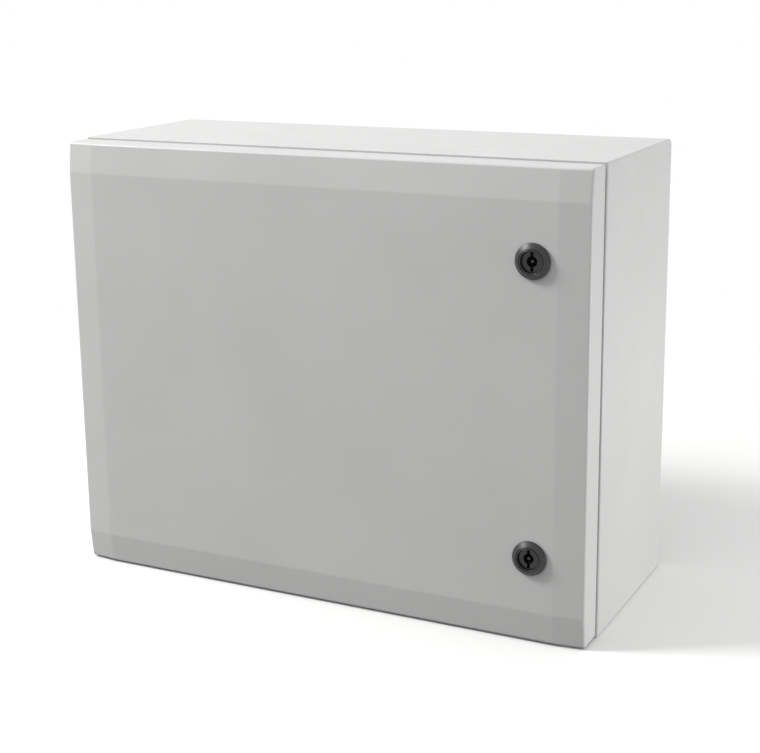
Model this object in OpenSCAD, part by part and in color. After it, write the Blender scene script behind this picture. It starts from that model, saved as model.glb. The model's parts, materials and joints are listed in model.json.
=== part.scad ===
// Wall-mounting sheet-steel enclosure with a crowned door, two quarter-turn locks,
// a mounting plate and a bottom gland plate. Millimetres, +Z up.
// The origin is the centre of the rear face, which lies on the wall. The door faces -Y.

/* [Overall] */
// Width over the body
body_w = 500; // [480:10:600]
// Height over the body
body_h = 400; // [380:10:600]
// Depth from the wall to the crown of the door
total_d = 210; // [200:5:250]

/* [Body] */
// Sheet thickness of the body and the door
sheet = 1.5; // [1.2:0.1:1.6]
// Outer radius of the rear upright bends
rear_bend = 2.5; // [2.5:0.5:6]
// Outer radius of the bend between the top and the rear wall
top_bend = 5; // [3:0.5:9]
// Outer radius of the front bends
front_bend = 2.2; // [1.8:0.1:3]
// Width of the front frame, from the outside to the rain lip
frame_w = 24; // [23:0.5:26]
// Distance between the wall screws, less than the body width by this much
wall_hole_inset = 50; // [46:1:60]
// Diameter of the wall screw holes
wall_hole_d = 9; // [7:0.5:11]

/* [Door] */
// How much smaller the door is than the body, on each side
door_inset = 1.5; // [1.5:0.1:2]
// Depth of the door at its crown
door_depth = 32; // [31:0.5:34]
// Gap between the door's rear edge and the body
door_gap = 2; // [2:0.1:3]
// Width of the sloping band along each edge
band_w = 26.7; // [24:0.1:29]
// How far each band falls towards the edge
band_drop = 3; // [1:0.1:3]
// Width of the foamed gasket
gasket_w = 12; // [8:0.5:14]

/* [Locks] */
// Lock axis, in from the door's free edge
lock_edge = 47; // [46:0.5:52]
// Distance between the two lock axes
lock_pitch = 248; // [200:4:300]
// Diameter of the lock head
lock_head_d = 29.5; // [28:0.5:32]
// Length of the cam from the lock axis to its tip
cam_reach = 37; // [35:0.5:40]

/* [Hinges] */
// Distance between the middles of the two hinges
hinge_pitch = 250; // [200:5:280]
// Diameter of the hinge pin
hinge_pin_d = 5; // [4:0.5:5]

/* [Fittings] */
// Width of the opening under the gland plate
gland_open_w = 334; // [200:2:334]
// Depth of the opening under the gland plate
gland_open_d = 90; // [60:2:90]
// Thickness of the mounting plate
plate_t = 2; // [1.5:0.5:3]
// Space between the rear wall and the mounting plate
plate_standoff = 16.5; // [12:0.5:25]
// Spacing of the holes in the door rails
rail_pitch = 25; // [20:5:50]

/* [Hidden] */
$fn = 64;

cut = 1;                                        // how far a cutter runs past a face
half_w = body_w / 2;
half_h = body_h / 2;
body_d = total_d - door_depth - door_gap;       // wall to the front of the body
front = -body_d;                                // front plane of the body
door_back = front - door_gap;                   // rear edge of the door's flanges
crown = -total_d;                               // flat middle of the door
door_x = half_w - door_inset;
door_z = half_h - door_inset;
slope = band_drop / band_w;
lining = crown + sheet;                         // inside face of the door's middle

// Rain lip around the opening and the gasket that it presses on
lip_x = half_w - frame_w;
lip_z = half_h - frame_w;
lip_corner = 6;
gasket_t = 8.5;
gasket_back = lining + gasket_t;
gasket_gap = 0.3;
lip_tip = gasket_back + gasket_gap;

// Wall screws and mounting plate
wall_x = (body_w - wall_hole_inset) / 2;
wall_z = (body_h - wall_hole_inset) / 2;
plate_margin = 30;
plate_x = half_w - plate_margin;
plate_z = half_h - plate_margin;
plate_notch = 22;
plate_back = -sheet - plate_standoff;
plate_front = plate_back - plate_t;
plate_stud_x = plate_x - 30;
plate_stud_z = plate_z - 10;

// Metric fasteners: thread radius, nut width across flats, nut height, washer
m5_r = 2.5;
m6_r = 3;
m8_r = 4;
m5_nut = [8, 4];
m6_nut = [10, 5];
m8_nut = [13, 6.5];
m8_washer = [8, 1.6];
thread_play = 0.1;

// Gland plate, lying on its gasket inside the bottom
gland_y = -95;
gland_rim = 20;
gland_x = gland_open_w / 2 + gland_rim;
gland_d = gland_open_d / 2 + gland_rim;
gland_seal_t = 2;
floor_z = -half_h + sheet;
gland_under = floor_z + gland_seal_t;
gland_top = gland_under + sheet;
gland_stud_x = gland_open_w / 2 + gland_rim / 2;
gland_stud_d = gland_open_d / 2 + gland_rim / 2;

// Hinge axis, close behind the left-hand edge of the door
hinge_x = -half_w + 7.5;
hinge_y = front - 14;
knuckle_r = 4;
knuckle_half = 12;
knuckle_len = 10;
knuckle_play = 0.3;
pin_play = 0.05;
block_x1 = hinge_x + 13.5;
block_screw_x = hinge_x + 7;
block_screw_z = 6.5;
notch_half = 13.5;
notch_front = hinge_y - 4;
leaf_x0 = hinge_x - 4.2;
leaf_x1 = hinge_x + 9;
leaf_front = lining + 3;
leaf_t = 2.5;
leaf_half = 32;
leaf_stud_x = hinge_x + 3;
leaf_stud_z = 27;

// Locks
lock_x = door_x - lock_edge;
lock_seal_t = 0.8;
lock_head_back = crown - lock_seal_t;
lock_head_t = 4.7;
lock_face = lock_head_back - lock_head_t;
lock_top_r = 10.8;
lock_barrel_r = 11;
lock_barrel_flats = 20;
lock_hole_play = 0.25;
lock_barrel_end = lining + 20.5;
lock_nut_t = 4;
lock_nut_af = 27;
recess_r = 9.1;
recess_end = lining + 2.5;
rotor_face = lock_face + 2.6;
rotor_head_r = 9;
rotor_r = 7;
rotor_play = 0.06;
rotor_gap = 0.3;
key_r = 4.5;
key_depth = 15;
key_slot_w = 2.4;
key_slot_r = 8;
key_slot_depth = 6;
key_pin_r = 1.5;
cam_square = 8;
cam_t = 3;
cam_w = 18;
cam_hub_front = lock_barrel_end + rotor_gap;
cam_tip_front = front + sheet + 0.3;
cam_bend_from = 10;
cam_bend_to = 19.5;
cam_tail = 9;
cam_washer = [7, 1.2];
cam_screw_head = [5, 3.5];

// Door rails
rail_w = 20;
rail_h = 13;
rail_half = 150;
rail_left_x = -190;
rail_right_x = lock_x - 36;
rail_hole_r = 2.4;

// ---- Shared shapes ----

// A block between two opposite corners
module block(low, high) {
    translate(low) cube(high - low);
}

// A rounded rectangle in the XZ plane, drawn as a slab from y0 to y1
module slab(x_half, z_half, r, y0, y1) {
    translate([0, y1, 0]) rotate([90, 0, 0]) linear_extrude(height = y1 - y0) {
        square([2 * x_half, 2 * (z_half - r)], center = true);
        square([2 * (x_half - r), 2 * z_half], center = true);
        for (sx = [-1, 1], sz = [-1, 1])
            translate([sx * (x_half - r), sz * (z_half - r)]) circle(r = r);
    }
}

// A round bar along Y
module bar_y(x, z, r, y0, y1) {
    translate([x, y1, z]) rotate([90, 0, 0]) cylinder(r = r, h = y1 - y0);
}

// A hexagon along Y, by its width across flats
module hex_y(x, z, flats, y0, y1) {
    translate([x, y1, z]) rotate([90, 0, 0])
        cylinder(r = flats / 2 / cos(30), h = y1 - y0, $fn = 6);
}

// A ring along Y
module ring_y(x, z, r, hole_r, y0, y1) {
    difference() {
        bar_y(x, z, r, y0, y1);
        bar_y(x, z, hole_r, y0 - cut, y1 + cut);
    }
}

// A hexagon nut along Y
module nut_y(x, z, nut, hole_r, y0) {
    difference() {
        hex_y(x, z, nut[0], y0, y0 + nut[1]);
        bar_y(x, z, hole_r, y0 - cut, y0 + nut[1] + cut);
    }
}

// Depth of the door's face over a point: flat in the middle, falling in a band at each edge
function face_y(x, z, back) = crown + back
    + slope * max(0, abs(x) - (door_x - band_w))
    + slope * max(0, abs(z) - (door_z - band_w));

// The solid under the door's face, brought in by "inset" at the edges and by "back" behind
// the face, and running rearwards to "rear"
module crowned_block(inset, back, rear) {
    ex = door_x - inset;
    ez = door_z - inset;
    xs = [-ex, -(door_x - band_w), door_x - band_w, ex];
    zs = [-ez, -(door_z - band_w), door_z - band_w, ez];
    face = [for (z = zs, x = xs) [x, face_y(x, z, back), z]];
    rim = [[-ex, rear, -ez], [ex, rear, -ez], [ex, rear, ez], [-ex, rear, ez]];
    cells = [for (j = [0:2], i = [0:2])
        [i + 4 * j, i + 4 * (j + 1), i + 1 + 4 * (j + 1), i + 1 + 4 * j]];
    sides = [[16, 17, 18, 19], [12, 19, 18, 15, 14, 13], [0, 1, 2, 3, 17, 16],
             [16, 19, 12, 8, 4, 0], [3, 7, 11, 15, 18, 17]];
    polyhedron(points = concat(face, rim), faces = concat(cells, sides));
}

module door_outside() {
    crowned_block(0, 0, door_back);
}

module door_inside() {
    crowned_block(sheet, sheet, door_back + cut);
}

// ---- Cabinet ----

// Plan of the body, with a radius of its own for the rear and the front corners
module body_plan(side) {
    x = half_w - side;
    y0 = front + side;
    y1 = -side;
    rr = rear_bend - side;
    fr = front_bend - side;
    for (s = [-1, 1]) {
        translate([s * (x - rr), y1 - rr]) circle(r = rr);
        translate([s * (x - fr), y0 + fr]) circle(r = fr);
    }
    translate([-x, y0 + fr]) square([2 * x, y1 - rr - y0 - fr]);
    translate([-(x - fr), y0]) square([2 * (x - fr), fr]);
    translate([-(x - rr), y1 - rr]) square([2 * (x - rr), rr]);
}

// What the bend takes off along the top rear edge
module top_rear_waste(side) {
    difference() {
        block([-half_w - cut, -top_bend, half_h - top_bend], [half_w + cut, cut, half_h + cut]);
        translate([-half_w - 2 * cut, -top_bend, half_h - top_bend]) rotate([0, 90, 0])
            cylinder(r = top_bend - side, h = body_w + 4 * cut);
    }
}

// The folded box as a solid, brought in on every side
module body_block(side) {
    difference() {
        translate([0, 0, side - half_h]) linear_extrude(height = body_h - 2 * side) body_plan(side);
        top_rear_waste(side);
    }
}

module body_shell() {
    color("gainsboro") difference() {
        union() {
            body_block(0);
            slab(lip_x, lip_z, lip_corner, lip_tip, front + sheet);
        }
        body_block(sheet);
        slab(lip_x - sheet, lip_z - sheet, lip_corner - sheet, lip_tip - cut, front + 2 * sheet);
        for (sx = [-1, 1], sz = [-1, 1])
            bar_y(sx * wall_x, sz * wall_z, wall_hole_d / 2, -sheet - cut, cut);
        block([-gland_open_w / 2, gland_y - gland_open_d / 2, -half_h - cut],
              [gland_open_w / 2, gland_y + gland_open_d / 2, floor_z + cut]);
        for (h = [-1, 1], s = [-1, 1])
            bar_y(block_screw_x, h * hinge_pitch / 2 + s * block_screw_z, m5_r + thread_play,
                  front - cut, front + sheet + cut);
    }
}

module mounting_plate() {
    color("silver") difference() {
        block([-plate_x, plate_front, -plate_z], [plate_x, plate_back, plate_z]);
        for (sx = [-1, 1], sz = [-1, 1]) {
            translate([sx * plate_x, plate_back, sz * plate_z])
                cube([2 * plate_notch, 4 * plate_t, 2 * plate_notch], center = true);
            bar_y(sx * plate_stud_x, sz * plate_stud_z, m8_r + 0.5,
                  plate_front - cut, plate_back + cut);
        }
    }
}

module plate_studs() {
    color("silver") for (sx = [-1, 1], sz = [-1, 1])
        bar_y(sx * plate_stud_x, sz * plate_stud_z, m8_r, plate_front - 14, -sheet);
}

module plate_spacers() {
    color("dimgray") for (sx = [-1, 1], sz = [-1, 1])
        ring_y(sx * plate_stud_x, sz * plate_stud_z, 8, m8_r + 0.3, plate_back, -sheet);
}

module plate_washers() {
    color("silver") for (sx = [-1, 1], sz = [-1, 1])
        ring_y(sx * plate_stud_x, sz * plate_stud_z, m8_washer[0], m8_r + 0.3,
               plate_front - m8_washer[1], plate_front);
}

module plate_nuts() {
    color("silver") for (sx = [-1, 1], sz = [-1, 1])
        nut_y(sx * plate_stud_x, sz * plate_stud_z, m8_nut, m8_r + thread_play,
              plate_front - m8_washer[1] - m8_nut[1]);
}

// Places of the six studs round the gland opening
module at_gland_studs(z) {
    for (sx = [-1, 0, 1], sy = [-1, 1])
        translate([sx * gland_stud_x, gland_y + sy * gland_stud_d, z]) children();
}

module gland_plate() {
    color("gainsboro") difference() {
        block([-gland_x, gland_y - gland_d, gland_under], [gland_x, gland_y + gland_d, gland_top]);
        at_gland_studs(gland_under - cut) cylinder(r = m6_r + 0.5, h = sheet + 2 * cut);
    }
}

module gland_gasket() {
    color("darkslategray") difference() {
        block([-gland_x, gland_y - gland_d, floor_z], [gland_x, gland_y + gland_d, gland_under]);
        block([-gland_open_w / 2, gland_y - gland_open_d / 2, floor_z - cut],
              [gland_open_w / 2, gland_y + gland_open_d / 2, gland_under + cut]);
        at_gland_studs(floor_z - cut) cylinder(r = m6_r + 0.5, h = gland_seal_t + 2 * cut);
    }
}

module gland_studs() {
    color("silver") at_gland_studs(floor_z) cylinder(r = m6_r, h = 15);
}

module gland_nuts() {
    color("silver") at_gland_studs(gland_top) difference() {
        cylinder(r = m6_nut[0] / 2 / cos(30), h = m6_nut[1], $fn = 6);
        translate([0, 0, -cut]) cylinder(r = m6_r + thread_play, h = m6_nut[1] + 2 * cut);
    }
}

// Earth stud on the floor of the body, behind the gland plate's left-hand end
body_earth = [-half_w + 35, -60];
earth_len = 22;

module at_body_earth(z) {
    translate([body_earth[0], body_earth[1], z]) children();
}

module body_earth_stud() {
    color("peru") at_body_earth(floor_z) cylinder(r = m8_r, h = earth_len);
}

module body_earth_washers() {
    color("silver") for (i = [0, 1]) at_body_earth(floor_z + i * (m8_washer[1] + 0.05))
        difference() {
            cylinder(r = m8_washer[0], h = m8_washer[1]);
            translate([0, 0, -cut]) cylinder(r = m8_r + 0.3, h = m8_washer[1] + 2 * cut);
        }
}

module body_earth_nut() {
    color("silver") at_body_earth(floor_z + 2 * m8_washer[1] + 0.1) difference() {
        cylinder(r = m8_nut[0] / 2 / cos(30), h = m8_nut[1], $fn = 6);
        translate([0, 0, -cut]) cylinder(r = m8_r + thread_play, h = m8_nut[1] + 2 * cut);
    }
}

// ---- Hinges ----

// Die-cast block on the body frame, with the middle knuckle
module hinge_block(z) {
    color("darkgray") difference() {
        union() {
            translate([hinge_x, hinge_y, z - knuckle_half])
                cylinder(r = knuckle_r, h = 2 * knuckle_half);
            block([hinge_x + 0.3, hinge_y - 1, z - knuckle_half],
                  [block_x1, front, z + knuckle_half]);
        }
        translate([hinge_x, hinge_y, z - knuckle_half - cut])
            cylinder(r = hinge_pin_d / 2 + pin_play, h = 2 * (knuckle_half + cut));
        for (s = [-1, 1])
            bar_y(block_screw_x, z + s * block_screw_z, m5_r + thread_play, front - 10.5, front + cut);
    }
}

module hinge_block_upper() {
    hinge_block(hinge_pitch / 2);
}

module hinge_block_lower() {
    hinge_block(-hinge_pitch / 2);
}

// Hexagon screws, put in from inside the body
module hinge_block_screws() {
    color("silver") for (h = [-1, 1], s = [-1, 1]) {
        z = h * hinge_pitch / 2 + s * block_screw_z;
        bar_y(block_screw_x, z, m5_r, front - 10, front + sheet + 0.5);
        hex_y(block_screw_x, z, m5_nut[0], front + sheet, front + sheet + 3.5);
    }
}

// Steel leaf inside the door, with the two outer knuckles
module hinge_leaf(z) {
    color("darkgray") difference() {
        union() {
            block([leaf_x0, leaf_front, z - leaf_half], [leaf_x1, leaf_front + leaf_t, z + leaf_half]);
            for (s = [-1, 1]) {
                low = z + (s > 0 ? knuckle_half + knuckle_play : -knuckle_half - knuckle_play - knuckle_len);
                translate([hinge_x, hinge_y, low]) cylinder(r = knuckle_r, h = knuckle_len);
                block([hinge_x - knuckle_r, leaf_front, low],
                      [hinge_x + 1.5, hinge_y, low + knuckle_len]);
            }
        }
        translate([hinge_x, hinge_y, z - leaf_half - cut])
            cylinder(r = hinge_pin_d / 2 + pin_play / 2, h = 2 * (leaf_half + cut));
        for (s = [-1, 1])
            bar_y(leaf_stud_x, z + s * leaf_stud_z, m5_r + 0.25, leaf_front - cut, leaf_front + leaf_t + cut);
    }
}

module hinge_leaf_upper() {
    hinge_leaf(hinge_pitch / 2);
}

module hinge_leaf_lower() {
    hinge_leaf(-hinge_pitch / 2);
}

// Captive pin with a small head on top
module hinge_pin(z) {
    reach = knuckle_half + knuckle_play + knuckle_len;
    color("silver") translate([hinge_x, hinge_y, z - reach - 1]) {
        cylinder(r = hinge_pin_d / 2, h = 2 * reach + 1.5);
        translate([0, 0, 2 * reach + 1]) cylinder(r = hinge_pin_d / 2 + 1, h = 1.5);
    }
}

module hinge_pin_upper() {
    hinge_pin(hinge_pitch / 2);
}

module hinge_pin_lower() {
    hinge_pin(-hinge_pitch / 2);
}

// Collared weld studs on the inside of the door's face, which carry the leaves
module hinge_leaf_studs() {
    color("peru") for (h = [-1, 1], s = [-1, 1]) {
        z = h * hinge_pitch / 2 + s * leaf_stud_z;
        intersection() {
            union() {
                bar_y(leaf_stud_x, z, m5_r, crown, leaf_front + leaf_t + m5_nut[1] + 2);
                bar_y(leaf_stud_x, z, 4.5, crown, leaf_front);
            }
            door_inside();
        }
    }
}

module hinge_leaf_nuts() {
    color("silver") for (h = [-1, 1], s = [-1, 1])
        nut_y(leaf_stud_x, h * hinge_pitch / 2 + s * leaf_stud_z, m5_nut, m5_r + thread_play,
              leaf_front + leaf_t);
}

// ---- Door ----

// Round hole with two flats, so that the lock can't turn
module lock_barrel_shape(z, play, y0, y1) {
    intersection() {
        bar_y(lock_x, z, lock_barrel_r + play, y0, y1);
        block([lock_x - lock_barrel_flats / 2 - play, y0 - cut, z - 2 * lock_barrel_r],
              [lock_x + lock_barrel_flats / 2 + play, y1 + cut, z + 2 * lock_barrel_r]);
    }
}

module door_shell() {
    color("gainsboro") difference() {
        door_outside();
        door_inside();
        for (h = [-1, 1]) {
            lock_barrel_shape(h * lock_pitch / 2, lock_hole_play, crown - cut, lining + cut);
            block([-door_x - cut, notch_front, h * hinge_pitch / 2 - notch_half],
                  [-door_x + 2 * sheet, door_back + cut, h * hinge_pitch / 2 + notch_half]);
        }
    }
}

module door_gasket() {
    mid_x = lip_x - sheet / 2;
    mid_z = lip_z - sheet / 2;
    wide = gasket_w / 2;
    color("dimgray") intersection() {
        difference() {
            slab(mid_x + wide, mid_z + wide, lip_corner + wide, crown, gasket_back);
            slab(mid_x - wide, mid_z - wide, 2, crown - cut, gasket_back + cut);
        }
        door_inside();
    }
}

// Perforated U-rail, spot-welded to the inside of the face
module door_rail(x) {
    holes = floor((rail_half - 12) / rail_pitch);
    color("gainsboro") difference() {
        block([x - rail_w / 2, lining, -rail_half], [x + rail_w / 2, lining + rail_h, rail_half]);
        block([x - rail_w / 2 + sheet, lining - cut, -rail_half - cut],
              [x + rail_w / 2 - sheet, lining + rail_h - sheet, rail_half + cut]);
        for (i = [-holes:holes])
            bar_y(x, i * rail_pitch, rail_hole_r, lining, lining + rail_h + cut);
    }
}

module door_rail_left() {
    door_rail(rail_left_x);
}

module door_rail_right() {
    door_rail(rail_right_x);
}

// Earth stud on the inside of the door, low on the hinge side
door_earth = [-half_w + 100, -half_h + 45];

module door_earth_stud() {
    color("peru") bar_y(door_earth[0], door_earth[1], m8_r, lining, lining + earth_len);
}

module door_earth_washers() {
    color("silver") for (i = [0, 1]) {
        y0 = lining + i * (m8_washer[1] + 0.05);
        ring_y(door_earth[0], door_earth[1], m8_washer[0], m8_r + 0.3, y0, y0 + m8_washer[1]);
    }
}

module door_earth_nut() {
    color("silver") nut_y(door_earth[0], door_earth[1], m8_nut, m8_r + thread_play,
                          lining + 2 * m8_washer[1] + 0.1);
}

// ---- Locks ----

// Head with a bevelled shoulder, and a flatted barrel that goes through the door
module lock_housing(z) {
    color("#2b2c2e") difference() {
        union() {
            translate([lock_x, lock_face, z]) rotate([-90, 0, 0]) rotate_extrude()
                polygon([[0, 0], [lock_top_r, 0], [lock_head_d / 2 - 0.6, lock_head_t - 1.6],
                         [lock_head_d / 2, lock_head_t - 1], [lock_head_d / 2, lock_head_t],
                         [0, lock_head_t]]);
            lock_barrel_shape(z, 0, lock_head_back - 0.5, lock_barrel_end);
        }
        bar_y(lock_x, z, recess_r, lock_face - cut, recess_end);
        bar_y(lock_x, z, rotor_r + rotor_play, recess_end - cut, lock_barrel_end + cut);
    }
}

module lock_housing_upper() {
    lock_housing(lock_pitch / 2);
}

module lock_housing_lower() {
    lock_housing(-lock_pitch / 2);
}

// Flat ring under the head
module lock_seal(z) {
    color("black") ring_y(lock_x, z, lock_head_d / 2 - 0.5, lock_barrel_r + 0.4,
                          lock_head_back, crown);
}

module lock_seal_upper() {
    lock_seal(lock_pitch / 2);
}

module lock_seal_lower() {
    lock_seal(-lock_pitch / 2);
}

module lock_nut(z) {
    color("silver") nut_y(lock_x, z, [lock_nut_af, lock_nut_t], lock_barrel_r + 0.1, lining);
}

module lock_nut_upper() {
    lock_nut(lock_pitch / 2);
}

module lock_nut_lower() {
    lock_nut(-lock_pitch / 2);
}

// Turning insert: a socket for a double-bit key round a centre pin, and a square for the cam
module lock_rotor(z) {
    color("#1f2022") {
        difference() {
            union() {
                bar_y(lock_x, z, rotor_head_r, rotor_face, recess_end - rotor_gap);
                bar_y(lock_x, z, rotor_r, rotor_face, lock_barrel_end);
                block([lock_x - cam_square / 2, lock_barrel_end - cut, z - cam_square / 2],
                      [lock_x + cam_square / 2, cam_hub_front + cam_t - 0.2, z + cam_square / 2]);
            }
            difference() {
                bar_y(lock_x, z, key_r, rotor_face - cut, rotor_face + key_depth);
                bar_y(lock_x, z, key_pin_r, rotor_face + 0.8, rotor_face + key_depth + cut);
            }
            difference() {
                block([lock_x - key_slot_w / 2, rotor_face - cut, z - key_slot_r],
                      [lock_x + key_slot_w / 2, rotor_face + key_slot_depth, z + key_slot_r]);
                bar_y(lock_x, z, key_r - 0.5, rotor_face - 2 * cut, rotor_face + key_slot_depth + cut);
            }
            bar_y(lock_x, z, m5_r + thread_play, cam_hub_front - 6, cam_hub_front + cam_t + cut);
        }
    }
}

module lock_rotor_upper() {
    lock_rotor(lock_pitch / 2);
}

module lock_rotor_lower() {
    lock_rotor(-lock_pitch / 2);
}

// Cranked steel cam, which reaches behind the body frame when it is turned sideways
module lock_cam(z) {
    back = cam_hub_front + cam_t;
    tip_back = cam_tip_front + cam_t;
    color("silver") difference() {
        intersection() {
            translate([lock_x - cam_w / 2, 0, z]) rotate([90, 0, 90])
                linear_extrude(height = cam_w)
                    polygon([[cam_hub_front, -cam_tail], [cam_hub_front, cam_bend_from],
                             [cam_tip_front, cam_bend_to], [cam_tip_front, cam_reach],
                             [tip_back, cam_reach], [tip_back, cam_bend_to - 1.3],
                             [back, cam_bend_from - 1.3], [back, -cam_tail]]);
            translate([lock_x, cam_hub_front - cut, z]) rotate([-90, 0, 0])
                linear_extrude(height = tip_back - cam_hub_front + 2 * cut) {
                    circle(r = cam_w / 2);
                    translate([0, -cam_reach + cam_w / 2]) circle(r = cam_w / 2);
                    translate([-cam_w / 2, -cam_reach + cam_w / 2])
                        square([cam_w, cam_reach - cam_w / 2]);
                }
        }
        block([lock_x - cam_square / 2 - 0.1, cam_hub_front - cut, z - cam_square / 2 - 0.1],
              [lock_x + cam_square / 2 + 0.1, back + cut, z + cam_square / 2 + 0.1]);
    }
}

module lock_cam_upper() {
    lock_cam(lock_pitch / 2);
}

module lock_cam_lower() {
    lock_cam(-lock_pitch / 2);
}

module lock_cam_washer(z) {
    y0 = cam_hub_front + cam_t;
    color("silver") ring_y(lock_x, z, cam_washer[0], m5_r + 0.3, y0, y0 + cam_washer[1]);
}

module lock_cam_washer_upper() {
    lock_cam_washer(lock_pitch / 2);
}

module lock_cam_washer_lower() {
    lock_cam_washer(-lock_pitch / 2);
}

module lock_cam_screw(z) {
    y0 = cam_hub_front + cam_t + cam_washer[1];
    color("silver") difference() {
        union() {
            bar_y(lock_x, z, m5_r, cam_hub_front - 5, y0 + 0.5);
            bar_y(lock_x, z, cam_screw_head[0], y0, y0 + cam_screw_head[1]);
        }
        hex_y(lock_x, z, 3, y0 + 1, y0 + cam_screw_head[1] + cut);
    }
}

module lock_cam_screw_upper() {
    lock_cam_screw(lock_pitch / 2);
}

module lock_cam_screw_lower() {
    lock_cam_screw(-lock_pitch / 2);
}

body_shell();
mounting_plate();
plate_studs();
plate_spacers();
plate_washers();
plate_nuts();
gland_plate();
gland_gasket();
gland_studs();
gland_nuts();
body_earth_stud();
body_earth_washers();
body_earth_nut();
hinge_block_upper();
hinge_block_lower();
hinge_block_screws();
door_shell();
door_gasket();
door_rail_left();
door_rail_right();
hinge_leaf_upper();
hinge_leaf_lower();
hinge_pin_upper();
hinge_pin_lower();
hinge_leaf_studs();
hinge_leaf_nuts();
door_earth_stud();
door_earth_washers();
door_earth_nut();
lock_housing_upper();
lock_seal_upper();
lock_nut_upper();
lock_rotor_upper();
lock_cam_upper();
lock_cam_washer_upper();
lock_cam_screw_upper();
lock_housing_lower();
lock_seal_lower();
lock_nut_lower();
lock_rotor_lower();
lock_cam_lower();
lock_cam_washer_lower();
lock_cam_screw_lower();
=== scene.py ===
import json
import math

import bmesh
import bpy
from mathutils import Matrix, Vector


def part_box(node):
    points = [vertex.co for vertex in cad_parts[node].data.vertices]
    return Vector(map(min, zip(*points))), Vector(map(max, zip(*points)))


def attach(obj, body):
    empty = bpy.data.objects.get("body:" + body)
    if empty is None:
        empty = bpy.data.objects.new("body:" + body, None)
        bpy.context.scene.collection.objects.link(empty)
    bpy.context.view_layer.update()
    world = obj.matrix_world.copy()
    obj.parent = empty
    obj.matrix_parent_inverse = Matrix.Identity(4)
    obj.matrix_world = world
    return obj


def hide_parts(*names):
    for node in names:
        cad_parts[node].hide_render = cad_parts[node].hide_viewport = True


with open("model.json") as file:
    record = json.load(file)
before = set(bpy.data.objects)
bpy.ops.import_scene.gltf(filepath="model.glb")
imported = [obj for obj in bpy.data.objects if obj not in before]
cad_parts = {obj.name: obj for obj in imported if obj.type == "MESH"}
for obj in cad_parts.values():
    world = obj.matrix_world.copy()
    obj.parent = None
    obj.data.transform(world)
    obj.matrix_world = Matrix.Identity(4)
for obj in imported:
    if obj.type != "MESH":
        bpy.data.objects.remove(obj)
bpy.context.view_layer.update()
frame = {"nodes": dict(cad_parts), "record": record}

# Powder coat. Thermoset polyester, sprayed as a dry powder on phosphated steel and baked.
# It sets light grey, semi-matt and slightly pebbled, like fine orange peel.


def linear(hex_colour):
    """sRGB hex to the linear colour that a shader wants."""
    parts = [int(hex_colour[i:i + 2], 16) / 255 for i in (1, 3, 5)]
    return [p / 12.92 if p <= 0.04045 else ((p + 0.055) / 1.055) ** 2.4 for p in parts] + [1.0]


def add(material, kind, settings, sockets):
    """Adds a node to a material, with its settings, constants and links."""
    node = material.node_tree.nodes.new(kind)
    for name, value in settings.items():
        setattr(node, name, value)
    for name, value in sockets.items():
        if isinstance(value, bpy.types.NodeSocket):
            material.node_tree.links.new(value, node.inputs[name])
        else:
            node.inputs[name].default_value = value
    return node


def new_material(name, roughness, metallic=0.0, ior=1.5):
    """A material with its shader, its Object coordinates and those three typical values."""
    material = bpy.data.materials.new(name)
    material.use_nodes = True
    shader = material.node_tree.nodes["Principled BSDF"]
    shader.inputs["Roughness"].default_value = roughness
    shader.inputs["Metallic"].default_value = metallic
    shader.inputs["IOR"].default_value = ior
    where = add(material, "ShaderNodeTexCoord", {}, {}).outputs["Object"]
    return material, shader, where


def link(material, output, shader, socket):
    material.node_tree.links.new(output, shader.inputs[socket])


def mottle(material, where, size, low, high, detail=2.0):
    """Noise of a real size in metres, spread between two values."""
    noise = add(material, "ShaderNodeTexNoise", {},
                {"Vector": where, "Scale": 1 / size, "Detail": detail})
    return add(material, "ShaderNodeMapRange", {},
               {"Value": noise.outputs["Fac"], "From Min": 0.3, "From Max": 0.7,
                "To Min": low, "To Max": high}).outputs["Result"]


def blend_colours(material, factor, first, second):
    return add(material, "ShaderNodeMix", {"data_type": "RGBA"},
               {0: factor, 6: linear(first), 7: linear(second)}).outputs[2]


def relief(material, shader, height, distance):
    """Bump whose full height is a real distance in metres."""
    bump = add(material, "ShaderNodeBump", {}, {"Height": height, "Distance": distance})
    link(material, bump.outputs["Normal"], shader, "Normal")


# The coat gives a soft, even sheen that drifts a little from place to place.
powder_coat, shader, where = new_material("polyester_powder_coat_light_grey", 0.42, ior=1.5)
CLOUD = 0.09          # slow drift of film thickness over the panel
PEEL = 0.0022         # orange-peel cell
link(powder_coat, blend_colours(powder_coat, mottle(powder_coat, where, CLOUD, 0.0, 1.0),
                                "#CBCBCA", "#CFCFCE"), shader, "Base Color")
link(powder_coat, mottle(powder_coat, where, 0.02, 0.38, 0.46), shader, "Roughness")
relief(powder_coat, shader, mottle(powder_coat, where, PEEL, 0.0, 1.0, detail=1.0), 0.000012)

# Body shell. One 1.5 mm steel blank folded into a box, with welded corners, a 24 mm front
# frame and a rain lip that stands forward into the door. The bend from the top to the rear is
# the softest, and the front edges of top and floor are crisp. Four wall holes, one floor opening.
SHEET = 0.0015
BEND = 0.0022
TOP_BEND = 0.005
BROKEN_EDGE = 0.0003


def block(low, high):
    """A box between two corners."""
    bm = bmesh.new()
    bmesh.ops.create_cube(bm, size=1.0)
    bmesh.ops.scale(bm, vec=Vector(high) - Vector(low), verts=bm.verts)
    bmesh.ops.translate(bm, vec=(Vector(high) + Vector(low)) / 2, verts=bm.verts)
    return bm


def lies_at(item, axis, at):
    """Whether every vertex of a face or an edge has this coordinate."""
    return all(abs(v.co[axis] - at) < 1e-5 for v in item.verts)


def verts_in(geometry):
    return [g for g in geometry if isinstance(g, bmesh.types.BMVert)]


def edges_in(geometry):
    return [g for g in geometry if isinstance(g, bmesh.types.BMEdge)]


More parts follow.
